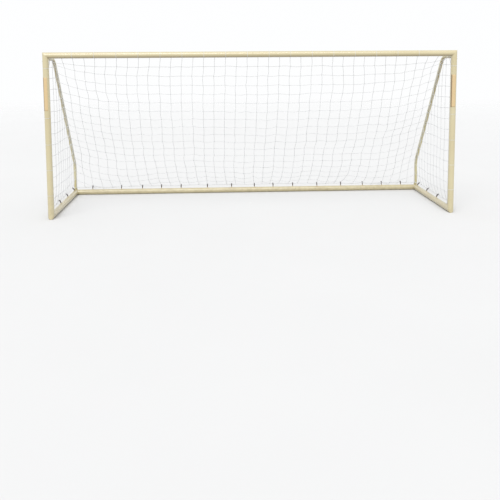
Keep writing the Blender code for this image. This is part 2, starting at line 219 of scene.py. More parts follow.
def material(name, recipe, **constants):
    """Constants go straight onto the shader's sockets; recipe gives the ones that vary."""
    made = bpy.data.materials.new(name)
    made.use_nodes = True
    shader = made.node_tree.nodes["Principled BSDF"]
    for socket, value in constants.items():
        shader.inputs[socket.replace("_", " ")].default_value = value
    start = Wire(made.node_tree)
    place = start.node("ShaderNodeTexCoord", None, None, "Object")
    for socket, wire in recipe(start, place).items():
        made.node_tree.links.new(wire.socket, shader.inputs[socket])
    return made


# %% [markdown]
# The tubes are finished in cream powder paint. It pools into a fine orange
# peel, is a little uneven in tone, has gathered dust and a few soil splashes
# near the ground, and has lost small chips where it was knocked. Where a tube
# high above the ground faces down, as the underside of the crossbar does, a
# darker tone is painted in as shade. Each painted mesh carries its own `rise`,
# the upward share of its normals, so that the paint knows which way it faces.
# A painted picture could hold all this, but noise on Object coordinates needs
# no unwrapping and keeps its scale from piece to piece.


# %% Painted steel
def powder_paint(pale, deep, dust, chip):
    """Tone from broad noise, dust that fades 0.35 m up, chips where fine noise peaks.

    The painted shade share, on faces that look down, is ramp(-rise) from 0 at
    0.1 to 1 at 0.7, times a ramp of the height from 0.6 to 1.8 m.
    """

    def recipe(start, place):
        broad = place.noise(2.6, 3)
        fine = place.noise(95, 2)
        low = 1 - place.axis("Z").ramp(0.0, 0.35)
        soil = (low * place.noise(22, 4, 0.65).ramp(0.42, 0.75)) * 0.55
        chipped = place.noise(34, 3).ramp(0.735, 0.742) * fine.ramp(0.35, 0.5)
        rise = start.node("ShaderNodeAttribute", {"attribute_name": "rise"}, None, "Fac")
        # painted shade: faces that look down, from 0.6 m up, are mixed toward a darker colour
        painted_underside_shade = (rise * -1).ramp(0.1, 0.7) * place.axis("Z").ramp(0.6, 1.8)
        tone = painted_underside_shade.mix(broad.ramp(0.3, 0.7).mix(deep, pale), UNDERSIDE_SHADE_COLOUR)
        dusty = soil.mix(tone, dust)
        peel = place.noise(420, 1) * 0.6 + fine * 0.4 - chipped * 1.6
        return {
            "Base Color": chipped.mix(dusty, chip),
            "Roughness": broad * 0.16 + soil * 0.5 + 0.27,
            "Normal": peel.bump(0.25 * MM, 0.35),
        }

    return recipe


# the darker colour painted as shade on the undersides of high tubes
UNDERSIDE_SHADE_COLOUR = srgb(156, 143, 110)
frame_tones = [srgb(190, 180, 145), srgb(184, 172, 135), srgb(148, 134, 106), srgb(112, 104, 94)]
stay_tones = [srgb(192, 183, 138), srgb(184, 174, 128), srgb(142, 128, 100), srgb(108, 98, 86)]
CREAM = material(
    "cream_powder_paint", powder_paint(*frame_tones), Coat_Weight=0.9, Coat_Roughness=0.22
)
STAY_CREAM = material(
    "stay_powder_paint", powder_paint(*stay_tones), Coat_Weight=0.2, Coat_Roughness=0.3
)
print("paints:", CREAM.name, "and", STAY_CREAM.name)

# %% [markdown]
# The hooks' curls carry a thick dark coat, brown-black where it is whole and
# redder where rust has come through. Coat and stem could be two pieces, but
# one material that switches near a height gives the ragged lip that a dipped
# coat has. The bolts are zinc plated, and the sleeves and elbows inside the
# tubes are bare steel.


# %% Hook coat, zinc and bare steel
def dipped_hook(start, place):
    """Tube paint up to the coat's uneven lower edge, then the dark coat with rusty patches."""
    rust = place.noise(120, 4, 0.65).ramp(0.42, 0.66)
    lip = COAT_Z + (place.noise(90, 2) - 0.5) * (6 * MM)
    coated = (place.axis("Z") - lip).ramp(0.0, 0.8 * MM)
    dark = rust.mix(srgb(30, 24, 25), srgb(72, 38, 32))
    stem = rust.mix(srgb(186, 174, 138), srgb(150, 122, 88))
    return {
        "Base Color": coated.mix(stem, dark),
        "Roughness": rust * 0.3 + 0.4,
        "Normal": (place.noise(500, 3) + coated * 0.8).bump(0.3 * MM, 0.5),
    }


def plated_zinc(start, place):
    """Bright plating that has dulled in clouds."""
    cloud = place.noise(160, 3)
    return {
        "Base Color": cloud.mix(srgb(176, 178, 178), srgb(206, 206, 200)),
        "Roughness": cloud * 0.3 + 0.22,
        "Normal": place.noise(900, 1).bump(0.05 * MM, 0.4),
    }


def mill_steel(start, place):
    """Grey steel as it leaves the mill, with a faint drawn grain."""
    grain = place.noise(70, 4, 0.7)
    return {
        "Base Color": grain.mix(srgb(96, 98, 100), srgb(142, 142, 140)),
        "Roughness": grain * 0.3 + 0.35,
    }


COAT_Z = GROUND_Z + 51 * MM
HOOK_COAT = material("dipped_hook", dipped_hook, Specular_IOR_Level=0.4)
ZINC = material("zinc_plate", plated_zinc, Metallic=1.0)
STEEL = material("mill_steel", mill_steel, Metallic=0.9)
print("hooks and metals:", HOOK_COAT.name, ZINC.name, STEEL.name)

# %% [markdown]
# All new pieces are grids of points: rows along the piece, columns round it.
# Ready-made cylinders and modifiers could give most of these shapes, but on a
# grid each size is a number that can be read and changed. `skin` turns a grid
# into a mesh of quads, closed in either direction, with one point at an end
# where a pole closes it.


# %% From a grid of points to a mesh
def skin(points, closed_rows=False, closed_columns=True, poles=False):
    """Quads between neighbours of grids shaped (pieces, rows, columns, 3).

    The face at row r and column c joins (r, c), (r, c + 1), (r + 1, c + 1) and
    (r + 1, c), each index wrapping where that direction is closed. With poles,
    each end row closes on its own centre with a fan of triangles.
    """
    pieces, rows, columns, _ = points.shape
    index = np.arange(pieces * rows * columns).reshape(pieces, rows, columns)
    if closed_rows:
        index = np.concatenate([index, index[:, :1]], axis=1)
    if closed_columns:
        index = np.concatenate([index, index[:, :, :1]], axis=2)
    corners = (index[:, :-1, :-1], index[:, :-1, 1:], index[:, 1:, 1:], index[:, 1:, :-1])
    faces = np.stack(corners, axis=-1).reshape(-1, 4).tolist()
    verts = points.reshape(-1, 3)
    if poles:
        ends = points[:, [0, -1]].mean(axis=2).reshape(-1, 3)
        hubs = len(verts) + np.arange(2 * pieces).reshape(pieces, 2)
        for hub, rim in ((hubs[:, 0], index[:, 0, ::-1]), (hubs[:, 1], index[:, -1])):
            centre = np.repeat(hub[:, None], columns, 1)
            fans = np.stack([centre, rim[:, :-1], rim[:, 1:]], axis=-1)
            faces += fans.reshape(-1, 3).tolist()
        verts = np.concatenate([verts, ends])
    return verts, faces


def piece(name, verts, faces, paint, slot=None, stands_for=()):
    """A finished, smooth-shaded object that rides on the frame's one body."""
    mesh = bpy.data.meshes.new(name)
    mesh.from_pydata(verts.tolist(), [], faces)
    mesh.shade_smooth()
    mesh.materials.append(paint)
    made = bpy.data.objects.new(name, mesh)
    bpy.context.collection.objects.link(made)
    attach(made, "root")
    if stands_for:
        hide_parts(*stands_for)
    return made


def facing(made):
    """Writes the upward share of each vertex normal to the mesh as rise."""
    mesh = made.data
    normals = np.empty(3 * len(mesh.vertices), np.float32)
    mesh.vertex_normals.foreach_get("vector", normals)
    rise = mesh.attributes.new("rise", "FLOAT", "POINT")
    rise.data.foreach_set("value", normals[2::3].copy())


def unit(vectors):
    return vectors / np.linalg.norm(vectors, axis=-1, keepdims=True)


X_AXIS, Y_AXIS, Z_AXIS = np.eye(3)


def ring(count):
    """Angles of the columns round a tube, once round without the end point."""
    return np.arange(count) * 2 * pi / count


def spokes(count, across, other):
    """Directions all round a centre: cos(angle) across + sin(angle) other."""
    angle = ring(count)[:, None]
    return np.cos(angle) * across + np.sin(angle) * other


# %% [markdown]
# A straight tube is one closed skin: along the outside, over the cut edge,
# back through the bore and over the other edge. Where two tubes meet in a
# corner, both are sawn on the same slanted plane. A Boolean could saw them,
# but it leaves long thin faces that shade badly, so each point is placed on
# the plane instead. The cut edges are rounded by 0.6 mm, as a deburred and
# painted edge is.

# %% Tubes with sawn ends
EDGE = 0.6 * MM
EDGE_STEPS = np.linspace(0, pi / 2, 5)
TUBE_COLUMNS = 96
OFF_AXIS = (0.3, 0.5, 0.8)


def edge_arc(radius):
    """A rounded edge: radii R - e + e cos a and setbacks e - e sin a, a from 0 to 90 degrees."""
    over = radius - EDGE + EDGE * np.cos(EDGE_STEPS)
    return over, EDGE - EDGE * np.sin(EDGE_STEPS)


def cut_loop(radius, wall):
    """Radii and setbacks of the loop: bore and rounded edge of the start, then those of the end.

    A ring four edge radii from each end keeps the shading of the edge off
    the long outside.
    """
    over, back = edge_arc(radius)
    bore = [radius - wall]
    radii = np.concatenate([bore, over[::-1], [radius], [radius], over, bore])
    setback = np.concatenate([[0], back[::-1], [4 * EDGE], [4 * EDGE], back, [0]])
    at_end = np.repeat([False, True], len(over) + 2)
    return radii, setback, at_end


def tube(start, end, start_cut, end_cut):
    """A point on the skin is start + radial + direction * t.

    For a cut plane with normal n through an end, t there is that end's
    distance less (n . radial) / (n . direction), moved in by the setback.
    """
    length = np.linalg.norm(end - start)
    along = (end - start) / length
    across = unit(np.cross(along, OFF_AXIS))
    radii, setback, at_end = (x[:, None, None] for x in cut_loop(TUBE_R, TUBE_WALL))
    radial = radii * spokes(TUBE_COLUMNS, across, np.cross(along, across))
    lean = [(radial @ n)[..., None] / (n @ along) for n in (start_cut, end_cut)]
    t = np.where(at_end, length - lean[1] - setback, -lean[0] + setback)
    return skin((start + radial + along * t)[None], closed_rows=True)


half_seam = SEAM / 2
up, rear = Z_AXIS, Y_AXIS
for side, sign in SIDES.items():
    inward = np.array([-sign, 0.0, 0.0])
    top = np.array([sign * POST_X, FRONT_Y, BAR_Z])
    foot = np.array([sign * POST_X, FRONT_Y, GROUND_Z])
    corner = np.array([sign * POST_X, REAR_Y, GROUND_Z])
    bar_seam = np.array([sign * half_seam, FRONT_Y, BAR_Z])
    rear_seam = np.array([sign * half_seam, REAR_Y, GROUND_Z])
    runs = {
        "post": (foot + up * half_seam, top - up * half_seam, up - rear, up + inward),
        "crossbar": (top + inward * half_seam, bar_seam, inward + up, inward),
        "side_bar": (foot + rear * half_seam, corner - rear * half_seam, rear - up, rear + inward),
        "rear_bar": (corner + inward * half_seam, rear_seam, inward + rear, inward),
    }
    for part, run in runs.items():
        facing(piece(f"{part}_tube_{side}", *tube(*run), CREAM, "frame_paint", [f"{part}_{side}"]))
print("8 straight tubes,", TUBE_COLUMNS, "columns round each")

# %% [markdown]
# Each stay leaves the top of the post level, bends down, and bends again near
# the ground to stand upright on the rear corner. Its centre line is straight
# runs joined by arcs, and a round profile is carried along it. A beveled curve
# would draw the same outside, but not the bore and the rounded cut ends. The
# profile keeps one axis across the goal, so the tube never twists.

# %% Route of a stay
STAY_R, STAY_WALL = 21 * MM, 2 * MM
STAY_GAP = 50.3 * MM
STAY_TOP_Z = middle("stay_stub_top_left")[2]
STAY_START_Y = FRONT_Y + STAY_GAP
STAY_FOOT_Z = GROUND_Z + STAY_GAP
KNEE_Z, SLANT = 0.444, radians(36.5)
TOP_BEND, KNEE_BEND = 0.20, 0.25


def stay_route(inset=0.0, steps=20):
    """(y, z) from the post to the rear corner, moved inset metres inwards.

    Each bend sits where two straight runs would cross, set back by
    radius * tan(half the turn); its points are centre + radius (cos, sin).
    """
    top, drop = STAY_TOP_Z - inset, REAR_Y - inset
    across, down = sin(SLANT), cos(SLANT)
    knee_y, knee_z = REAR_Y - inset * down, KNEE_Z - inset * across
    upper = (knee_y - (top - knee_z) * across / down, top)
    lower = (drop, knee_z - (drop - knee_y) * down / across)
    route = [[[STAY_START_Y, top]]]
    bends = ((upper, TOP_BEND - inset, pi / 2, SLANT), (lower, KNEE_BEND - inset, SLANT, 0.0))
    for (y, z), radius, heading, leaving in bends:
        back = radius * tan((heading - leaving) / 2)
        centre = (
            y - back * sin(heading) - radius * cos(heading),
            z + back * cos(heading) - radius * sin(heading),
        )
        angle = np.linspace(heading, leaving, steps)
        route.append(np.column_stack([np.cos(angle), np.sin(angle)]) * radius + centre)
    route.append([[drop, STAY_FOOT_Z]])
    return np.concatenate(route)


def at_shares(points, shares):
    """Points at the given shares of a polyline's length, by straight interpolation."""
    steps = np.linalg.norm(np.diff(points, axis=0), axis=1)
    length = np.concatenate([[0], np.cumsum(steps)])
    places = shares * length[-1]
    return np.column_stack([np.interp(places, length, axis) for axis in points.T])


def frames(path, side):
    """Tangent, and two axes square to it: one as near to side as it can be."""
    tangent = unit(np.gradient(path, axis=-2))
    other = unit(np.cross(tangent, side))
    return tangent, np.cross(other, tangent), other


def carried(path, radii, side, columns):
    """Rings round each point of a path; radii has a row for each point and one or all columns."""
    _, across, other = frames(path, side)
    spoke = spokes(columns, across[..., None, :], other[..., None, :])
    return path[..., None, :] + spoke * radii[..., None]


# %% Bent stays
STAY_COLUMNS = 64


def stay_loop(last):
    """The route point, the radius and the shift along the tube for each ring of a stay's skin.

    The rings run over the rounded cut at the start, along the outside, over
    the cut at the other end, and back through the bore.
    """
    over, back = edge_arc(STAY_R)
    at_start, at_end = np.zeros(len(over) + 1, int), np.full(len(over), last)
    bore = STAY_R - STAY_WALL
    order = np.concatenate([at_start, np.arange(last + 1), at_end, np.arange(last, 0, -1)])
    radii = np.concatenate([
        [bore], over[::-1], np.full(last + 1, STAY_R), over, np.full(last, bore),
    ])
    shift = np.concatenate([
        [0], back[::-1], [2 * EDGE], np.zeros(last - 1), [-2 * EDGE], -back, np.zeros(last),
    ])
    return order, radii[:, None, None], shift[:, None]


stay_line = stay_route(steps=24)
order, radii, shift = stay_loop(len(stay_line) - 1)
for side, sign in SIDES.items():
    path = np.column_stack([np.full(len(stay_line), sign * POST_X), stay_line])
    tangent, across, other = (axes[order] for axes in frames(path, X_AXIS))
    spoke = spokes(STAY_COLUMNS, across[:, None], other[:, None])
    rings = (path[order] + tangent * shift)[:, None] + spoke * radii
    grid = skin(rings[None], closed_rows=True)
    facing(piece(f"stay_tube_{side}", *grid, STAY_CREAM, "stay_paint", [f"stay_{side}"]))
print(f"2 stays, {np.linalg.norm(np.diff(stay_line, axis=0), axis=1).sum():.3f} m along each")

# %% [markdown]
# The net hooks are rods set into the tubes with a small collar. Each stands
# up straight and curls outwards, so that the net's bottom rope is caught under
# the curl. The stem is painted with the tube, and the curl is dipped in a
# thick dark coat that spares the rope. A curve with a bevel has one thickness
# all along. Here one profile of run and radius, carried along the rod's centre
# line, makes collar, stem, coat and rounded tip.

# %% Net hooks
CURL_START, CURL_R = 46 * MM, 44 * MM
HOOK_COLUMNS = 20
HOOK_PROFILE = np.array([
    (0.0, 9.3), (1.8, 9.4), (3.6, 9.2), (4.3, 8.4), (4.7, 7.2), (5.2, 5.9),
    (6.4, 5.0), (8.5, 4.6), (10, 4.5), (11.5, 4.5), (12.6, 4.6), (13.6, 4.9),
    (14.5, 5.4), (15.5, 6.0), (17, 6.6), (20, 6.9),
    *((step, 7.0) for step in np.linspace(25, 55, 11)),
    (58, 7.2), (60.5, 7.5), (62.5, 7.3), (64, 6.7),
    (65.3, 5.6), (66.2, 4.2), (66.8, 2.5), (67.0, 0.9),
]) * MM
HOOK_BASE = 35.8 * MM


def hook_path(run):
    """Height and reach of the rod's centre after a run from its base.

    It is upright up to CURL_START; then height is start + R sin(a) and reach
    R (1 - cos(a)), where a is the run along the curl over R.
    """
    straight = CURL_START - HOOK_BASE
    turned = np.clip((run - straight) / CURL_R, 0, None)
    height = np.where(run < straight, HOOK_BASE + run, CURL_START + CURL_R * np.sin(turned))
    return height, CURL_R * (1 - np.cos(turned))


def hook(foot, outward):
    """The profile carried along the hook's path, which starts above foot on the tube's axis."""
    run, radii = HOOK_PROFILE.T
    height, reach = hook_path(run)
    path = foot + height[:, None] * Z_AXIS + reach[:, None] * outward
    rings = carried(path, radii[:, None], np.cross(outward, Z_AXIS), HOOK_COLUMNS)
    return skin(rings[None], poles=True)


hook_nodes = sorted(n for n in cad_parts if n.startswith("net_hook"))
for node in hook_nodes:
    x, y, _ = middle(node)
    foot, outward = (x, REAR_Y, GROUND_Z), Y_AXIS
    if "rear" not in node:
        sign = SIDES[node.split("_")[2]]
        foot, outward = (sign * POST_X, y, GROUND_Z), sign * X_AXIS
    name = node.replace("net_hook", "dipped_hook")
    piece(name, *hook(foot, outward), HOOK_COAT, "hook_iron", [node])
print(len(hook_nodes), "hooks of", len(HOOK_PROFILE), "rings")

# %% [markdown]
# Low button-head bolts hold the tubes on the elbows inside them. A head could
# be turned on a lathe and its socket cut with a Boolean. A surface of
# revolution whose inner rings change from round to a hexagon needs no cut.

# %% Bolt heads
HEAD_R, HEAD_HEIGHT, RIM = 7.0 * MM, 4.4 * MM, 0.9 * MM
SHANK_R, SOCKET = 4.0 * MM, 2.3 * MM
DOME_IN, DOME_UP = 3.4 * MM, 3.5 * MM
DOME_STEPS = np.linspace(0.0, 1.0, 7)[1:] * pi / 2
BOLT_COLUMNS = 48
HEAD_PROFILE = np.array([
    (SHANK_R, -5 * MM, 0), (SHANK_R, 0.05 * MM, 0),
    (HEAD_R - 0.2 * MM, 0, 0), (HEAD_R, 0.3 * MM, 0), (HEAD_R, RIM, 0),
    *((HEAD_R - DOME_IN * (1 - cos(a)), RIM + DOME_UP * sin(a), 0) for a in DOME_STEPS),
    (SOCKET * 1.12, HEAD_HEIGHT, 1), (SOCKET, HEAD_HEIGHT - 0.3 * MM, 1),
    (SOCKET, HEAD_HEIGHT - 2.4 * MM, 1), (0.5 * MM, HEAD_HEIGHT - 2.8 * MM, 0),
])
SIDEWAYS = ("bolt_top", "bolt_front", "bolt_stay")


def bolt_head(node, outward):
    """Rings (radius, height, hexness) from the shank over the dome down into the socket.

    A hexagon's radius at angle a is apothem / cos(a mod 60 degrees - 30 degrees).
    """
    radius, height, hexness = (column[:, None] for column in HEAD_PROFILE.T)
    hexagon = 1 / np.cos(np.mod(ring(BOLT_COLUMNS), pi / 3) - pi / 6)
    radius = radius * (1 + hexness * (hexagon - 1))
    low, high = (np.array(corner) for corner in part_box(node))
    top = np.where(outward > 0, high, np.where(outward < 0, low, (low + high) / 2))
    spoke = spokes(BOLT_COLUMNS, Z_AXIS, np.cross(outward, Z_AXIS))
    rings = top + (height - HEAD_HEIGHT)[..., None] * outward + radius[..., None] * spoke
    return skin(rings[None], poles=True)


bolt_nodes = sorted(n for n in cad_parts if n.startswith("bolt"))
for node in bolt_nodes:
    kind, side = node.rsplit("_", 1)
    outward = SIDES[side] * X_AXIS if kind in SIDEWAYS else Y_AXIS
    name = node.replace("bolt", "button_head")
    piece(name, *bolt_head(node, outward), ZINC, "zinc_bolt", [node])
print(len(bolt_nodes), "bolts")

# %% [markdown]
# The net is a square mesh of laid cord, 37 meshes across and 18 down. Its head
# rope lies behind and under the crossbar, its edge ropes lie inside the stays
# and its bottom rope is caught by the hooks. Between them it hangs slack, so
# its shape is found by letting it fall: every knot is a point mass, and every
# length of cord may shorten but never stretch. Blender's cloth would treat the
# net as a closed sheet; this gives the same shape on every run.

# %% Where the net is held
rng = np.random.default_rng(27)
ACROSS, DOWN = 37, 18
MESH = 0.137
ROPE_R, CORD_R, ROPE_GAP = 3.6 * MM, 2.3 * MM, 0.4 * MM
# a rope beside a tube lies off its axis by the same step on two axes
BESIDE_BAR = (TUBE_R + ROPE_R + ROPE_GAP) / 2 ** 0.5
BESIDE_STAY = (STAY_R + ROPE_R + ROPE_GAP) / 2 ** 0.5
CAUGHT_Z = GROUND_Z + CURL_START + 27.5 * MM
CAUGHT_OUT = 22 * MM
HEAD_END = 14 * MM

head_half = POST_X - TUBE_R - HEAD_END
edge_x = POST_X - BESIDE_STAY
head_corner = np.array([FRONT_Y + BESIDE_BAR, BAR_Z - BESIDE_BAR])
BEND_STEPS = 16
stay_side = stay_route(inset=BESIDE_STAY, steps=BEND_STEPS)[BEND_STEPS:]
stay_side[-1, 1] = CAUGHT_Z
edge_line = np.column_stack([
    np.concatenate([[head_half], np.full(len(stay_side), edge_x)]),
    np.concatenate([[head_corner], stay_side]),
])
edge_length = np.linalg.norm(np.diff(edge_line, axis=0), axis=1).sum()
hook_x = np.array([middle(n)[0] for n in hook_nodes if "rear" in n])
print(f"edge of the net {edge_length:.3f} m, {len(hook_x)} rear hooks")


# %% The net lets itself down
GRAVITY, TIME_STEP, KEPT_SPEED = 9.81, 0.003, 0.94
TINY = 1e-9
FALL_STEPS, PULL_ROUNDS = 420, 24
BAR_GAP = 0.5 * MM


def pull(line, rest, free):
    """Shortens every other stretched link, then the ones between.

    A link moves each end by (length - rest) times that end's share of the
    freedom of both, so a held end stays and the free one does it all.
    """
    for first in (0, 1):
        b, free_b = line[..., first + 1::2, :], free[..., first + 1::2, :]
        pairs = b.shape[-2]
        a, free_a, free_length = (x[..., first::2, :][..., :pairs, :] for x in (line, free, rest))
        link = b - a
        length = np.linalg.norm(link, axis=-1, keepdims=True)
        over = np.clip(length - free_length, 0, None) / np.maximum(length, TINY)
        share = over / np.maximum(free_a + free_b, TINY)
        a += link * share * free_a
        b -= link * share * free_b


def off_bar(points, free):
    """Moves what has sunk into the rear bar straight out of it, square to its axis."""
    away = points[..., 1:] - [REAR_Y, GROUND_Z]
    distance = np.linalg.norm(away, axis=-1, keepdims=True)
    short = np.clip(TUBE_R + ROPE_R + BAR_GAP - distance, 0, None) * free
    points[..., 1:] += away / distance * short


def let_fall(points, free, rest_across, rest_down):
    """Verlet steps: the next place is this one + kept speed * (this - last) + g t^2.

    After each step come rounds of pulls along the rows and the columns.
    """
    fall = np.array([0, 0, -GRAVITY]) * TIME_STEP ** 2
    before = points.copy()
    for _ in range(FALL_STEPS):
        moved = points + (points - before) * KEPT_SPEED + fall * free
        before = points.copy()
        points = np.where(free > 0, moved, before)
        for _ in range(PULL_ROUNDS):
            pull(points[::2], rest_across, free[::2])
            pull(points[:, ::2].swapaxes(0, 1), rest_down, free[:, ::2].swapaxes(0, 1))
            off_bar(points, free)
    return points


# %% [markdown]
# The first shape is a guess: an arc between crossbar and hooks that blends
# into the edge ropes near the sides. The grid has a point at each knot and one
# halfway between, so that a slack cord can fold. The cords take 3 % unevenly,
# the rows beside the head rope are drawn together a little, and the bottom
# rope is held almost straight from hook to hook.

# %% First shape and cord lengths
SAG = 0.2
HALF_MESH, MESH_WIDTH, DRAWN_IN = 0.0686, 0.1405, 0.008
UNEVEN = 0.03
ROPE_SLACK = 1.004
NEVER_TIGHT = 5
EDGE_POWER, BLEND_POWER, SIDE_POWER = 0.85, 6, 4
rows, columns = 2 * DOWN + 1, 2 * ACROSS + 1
u, v = np.linspace(-1, 1, columns), np.linspace(0, 1, rows)
edge_points = at_shares(edge_line, v ** EDGE_POWER)
chord = np.array([REAR_Y, CAUGHT_Z]) - head_corner
below = np.array([chord[1], -chord[0]]) / np.linalg.norm(chord)
hung = head_corner + v[:, None] * chord + below * (SAG * 4 * v * (1 - v))[:, None]
blend = (np.abs(u) ** BLEND_POWER)[None, :, None]
net = np.empty((rows, columns, 3))
net[..., 0] = u * edge_points[:, None, 0]
net[..., 1:] = hung[:, None] * (1 - blend) + edge_points[:, None, 1:] * blend
free = np.ones((rows, columns, 1))
free[0], free[:, 0], free[:, -1] = 0, 0, 0
held = [0]
for x in np.sort(hook_x):
    held.append(int(np.argmin(np.abs(net[-1, :, 0] - x))))
    net[-1, held[-1]] = x, REAR_Y + CAUGHT_OUT, CAUGHT_Z
held.append(columns - 1)
free[-1, held] = 0
for axis in range(3):
    net[-1, :, axis] = np.interp(np.arange(columns), held, net[-1, held, axis])
side_share = np.abs(u[::2, None]) ** SIDE_POWER
edge_rest = np.linalg.norm(np.diff(edge_points, axis=0), axis=1)
down = (HALF_MESH * (1 - side_share) + edge_rest * side_share)[..., None]
rest_down = down * (1 + UNEVEN * rng.standard_normal((ACROSS + 1, rows - 1, 1)))
mesh_width = MESH_WIDTH - DRAWN_IN * np.exp(-np.arange(DOWN + 1) / 2)[:, None, None]
rest_across = mesh_width / 2 * (1 + UNEVEN * rng.standard_normal((DOWN + 1, columns - 1, 1)))
rest_across[0] = NEVER_TIGHT
rest_across[-1] = ROPE_SLACK * np.linalg.norm(np.diff(net[-1], axis=0), axis=1)[:, None]
net = let_fall(net, free, rest_across, rest_down)
centre = np.round(net[::2, ACROSS, 1:] - [FRONT_Y, 0], 2)
print("middle of the net, y and z of each row:", centre.tolist())

# %% [markdown]
# A cord is a thin round profile carried along a smooth curve through the
# knots. Laid cord shows three strands that wind round it. On the ropes they
# are modelled. The net holds far too much cord for that, so each skin also
# carries a UV map, once round and one unit for each turn of the lay, and the
# material draws the strands in step with it.


# %% Cords from polylines
def smooth(paths, steps):
    """Catmull-Rom curves through the points, in so many steps from each to the next.

    Between b and c, with a before and d after, at t in 0..1, the curve is half
    of 2b + (c - a)t + (2a - 5b + 4c - d)t^2 + (3b - a - 3c + d)t^3.
    """
    first, last = 2 * paths[:, :1] - paths[:, 1:2], 2 * paths[:, -1:] - paths[:, -2:-1]
    p = np.concatenate([first, paths, last], axis=1)[:, :, None]
    a, b, c, d = p[:, :-3], p[:, 1:-2], p[:, 2:-1], p[:, 3:]
    t = (np.arange(steps) / steps)[:, None]
    square, cube = 2 * a - 5 * b + 4 * c - d, 3 * b - a - 3 * c + d
    curve = (2 * b + (c - a) * t + square * t ** 2 + cube * t ** 3) / 2
    return np.concatenate([curve.reshape(len(paths), -1, 3), paths[:, -1:]], axis=1)


LAY = 7.0
LAY_STEPS = 8
CORD_COLUMNS, ROPE_COLUMNS = 7, 12
ROPE_GROOVE = 0.26


def cord_skin(paths, radius, side, columns, groove=0.0):
    """Verts, faces and loop UVs of many cords; v counts turns of a lay that is 7 radii long.

    The skin lies at radius * (1 - groove * (1 - sin(2 pi (3u + v))) / 2), so
    groove is the depth between two strands as a share of the radius.
    """
    run = np.linalg.norm(np.diff(paths, axis=1), axis=2).cumsum(axis=1)
    run = np.concatenate([np.zeros((len(paths), 1)), run], axis=1)
    v = run[..., None] / (LAY * radius) + np.zeros(columns)
    u = np.arange(columns) / columns + np.zeros_like(v)
    depth = groove * (1 - np.sin(2 * pi * (3 * u + v))) / 2
    verts, faces = skin(carried(paths, radius * (1 - depth), side, columns), poles=True)
    lay = np.stack([u, v], axis=-1)
    here, onward, beside = lay[:, :-1], lay[:, 1:], [1 / columns, 0]
    quads = np.stack([here, here + beside, onward + beside, onward], axis=3).reshape(-1, 2)
    fans = np.zeros((3 * columns * 2 * len(paths), 2))
    return verts, faces, np.concatenate([quads, fans])


def rope(points, side):
    """A rope with modelled strands along a smoothed polyline, in steps of an eighth of its lay."""
    curve = smooth(points[None], 6)[0]
    length = np.linalg.norm(np.diff(curve, axis=0), axis=1).sum()
    stations = int(length * LAY_STEPS / (LAY * ROPE_R))
    path = at_shares(curve, np.linspace(0, 1, stations))[None]
    return cord_skin(path, ROPE_R, side, ROPE_COLUMNS, ROPE_GROOVE)


def cord_piece(name, skins, stands_for=()):
    """Joins several cord skins in one piece and writes their UV map."""
    verts, faces, uvs, start = [], [], [], 0
    for part_verts, part_faces, part_uvs in skins:
        verts.append(part_verts)
        faces += [[start + i for i in face] for face in part_faces]
        uvs.append(part_uvs)
        start += len(part_verts)
    made = piece(name, np.concatenate(verts), faces, CORD, "net_cord", stands_for)
    layer = made.data.uv_layers.new(name="lay")
    layer.data.foreach_set("uv", np.concatenate(uvs).astype(np.float32).ravel())


# %% White laid cord
def laid_cord(start, place):
    """Three strands: the wave sin(2 pi (3u + v)), pale on the crowns and shaded in the grooves."""
    lay = start.node("ShaderNodeUVMap", {"uv_map": "lay"})
    wave = ((lay.axis("X") * 3 + lay.axis("Y")) * (2 * pi)).sine() * 0.5 + 0.5
    fibre = place.noise(1600, 2)
    grime = place.noise(3.2, 3).ramp(0.35, 0.75)
    groove = (1 - wave) ** 2.0
    tone = grime.mix(srgb(225, 226, 227), srgb(205, 206, 206))
    return {
        "Base Color": (groove * 0.8).mix(tone, srgb(148, 149, 151)),
        "Roughness": fibre * 0.2 + 0.7,
        "Normal": (wave + fibre * 0.25).bump(0.5 * MM, 0.8),
    }


CORD = material("white_laid_cord", laid_cord, Sheen_Weight=0.15, Specular_IOR_Level=0.3)
print("cord:", CORD.name)

# %% [markdown]
# A cord under little load keeps the bends it had in the bundle, so between
# two knots each length bows a few millimetres one way or another. The knots
# themselves are small lumps where two cords cross.

# %% Back net
def wavy(paths, steps, sway):
    """Adds sin(pi * share of a mesh side) times one random bow to each mesh side."""
    sides = (paths.shape[1] - 1) // (2 * steps)
    share = np.sin(np.linspace(0, pi * sides, paths.shape[1]))
    bow = rng.standard_normal((len(paths), sides, 3)) * sway
    spread = np.concatenate([np.repeat(bow, 2 * steps, axis=1), bow[:, -1:]], axis=1)
    return paths + np.abs(share)[:, None] * spread


def knots(centres, squash):
    """Balls with the pole p along x: (cos p, sin p sin a, sin p cos a) times the knot's radius.

    The radius swells by 1 + 0.22 cos(3a + 2p), and squash scales each axis.
    """
    angle, polar = ring(KNOT_COLUMNS), np.linspace(0.18, 0.82, KNOT_RINGS)[:, None] * pi
    swell = 1 + KNOT_SWELL * np.cos(3 * angle + 2 * polar)
    across, rise = np.sin(polar), np.cos(polar)
    ball = np.stack([rise + 0 * angle, across * np.sin(angle), across * np.cos(angle)], axis=-1)
    shape = ball * swell[..., None] * KNOT_R * np.array(squash)
    verts, faces = skin(centres[:, None, None] + shape, poles=True)
    return verts, faces, np.full((sum(len(f) for f in faces), 2), ON_CROWN)


def length_of(*sets):
    """The length of all the cords in several sets of paths."""
    return sum(np.linalg.norm(np.diff(paths, axis=1), axis=2).sum() for paths in sets)


